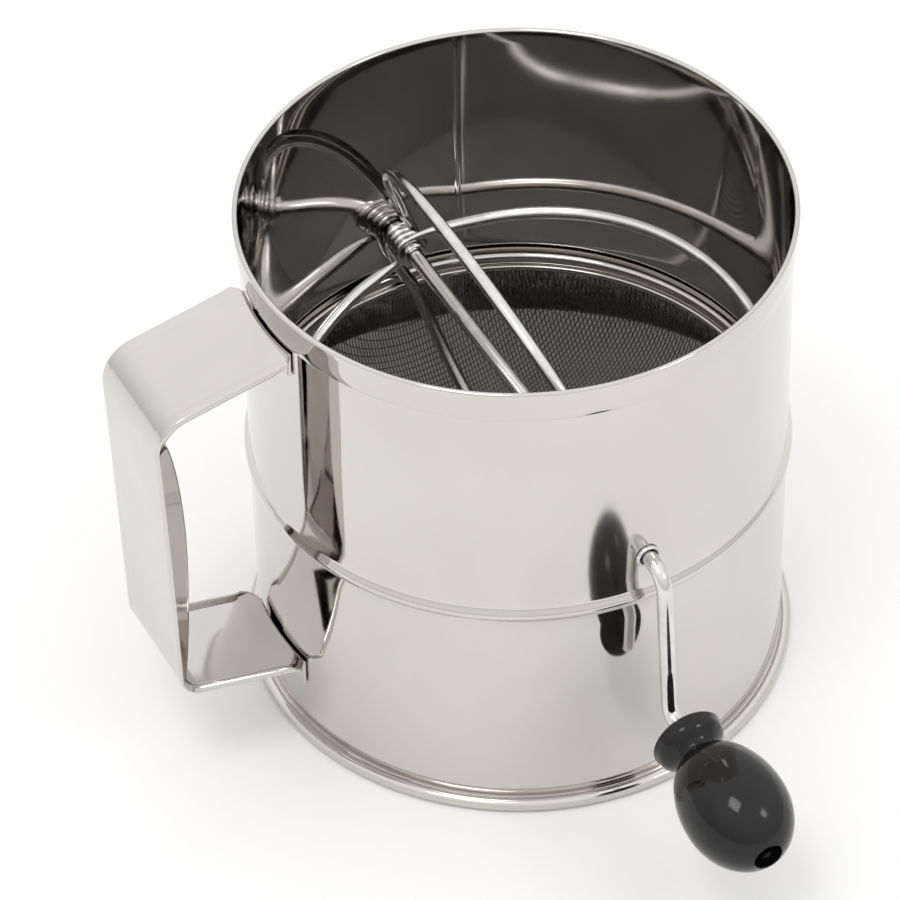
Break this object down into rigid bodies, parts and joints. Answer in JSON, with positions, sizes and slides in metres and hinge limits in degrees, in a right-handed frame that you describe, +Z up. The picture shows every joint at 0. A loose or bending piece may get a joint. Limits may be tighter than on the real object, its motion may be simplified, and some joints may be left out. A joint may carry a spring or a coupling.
{
  "type": "rotary flour sifter",
  "caption": "Polished steel can with a woven mesh bowl inside, a crank-turned wire agitator with a black egg-shaped knob, and a flat strap handle.",
  "frame": {"origin": "on the standing surface, under the middle of the whole object's bounding box", "axes": "+Z up along the can's axis, -Y the way the crank and its knob point, -X the way the handle points; the can's own axis stands at x 19.8 mm, y 34.8 mm"},
  "size_m": [0.2048, 0.2348, 0.1646],
  "materials": {
    "polished_steel": "mirror polished stainless steel",
    "steel_wire": "bright drawn steel wire",
    "woven_mesh": "fine woven steel wire",
    "knob_plastic": "moulded black plastic"
  },
  "bodies": {
    "can": {"body_shell": "polished_steel", "screen_ring": "polished_steel", "mesh_screen": "woven_mesh", "bearing_front": "polished_steel", "bearing_rear": "polished_steel", "handle_band": "polished_steel", "weld_top_1": "polished_steel", "weld_top_2": "polished_steel", "weld_top_3": "polished_steel", "weld_bottom_1": "polished_steel", "weld_bottom_2": "polished_steel", "weld_bottom_3": "polished_steel"},
    "crank": {"crank_rod": "polished_steel", "collar_front": "polished_steel", "collar_rear": "polished_steel", "agitator_wire_1": "steel_wire", "agitator_wire_2": "steel_wire", "agitator_wire_3": "steel_wire", "agitator_wire_4": "steel_wire", "knob_retainer": "steel_wire"},
    "knob": {"knob": "knob_plastic"}
  },
  "joints": [
    {"name": "crank_spin", "type": "hinge", "parent": "can", "child": "crank", "pos_m": [0.0198, 0.03477, 0.094], "axis": [0, -1, 0], "continuous": true},
    {"name": "knob_spin", "type": "hinge", "parent": "crank", "child": "knob", "pos_m": [0.0198, -0.06867, 0.04206], "axis": [0, -0.9962, -0.0872], "continuous": true}
  ]
}
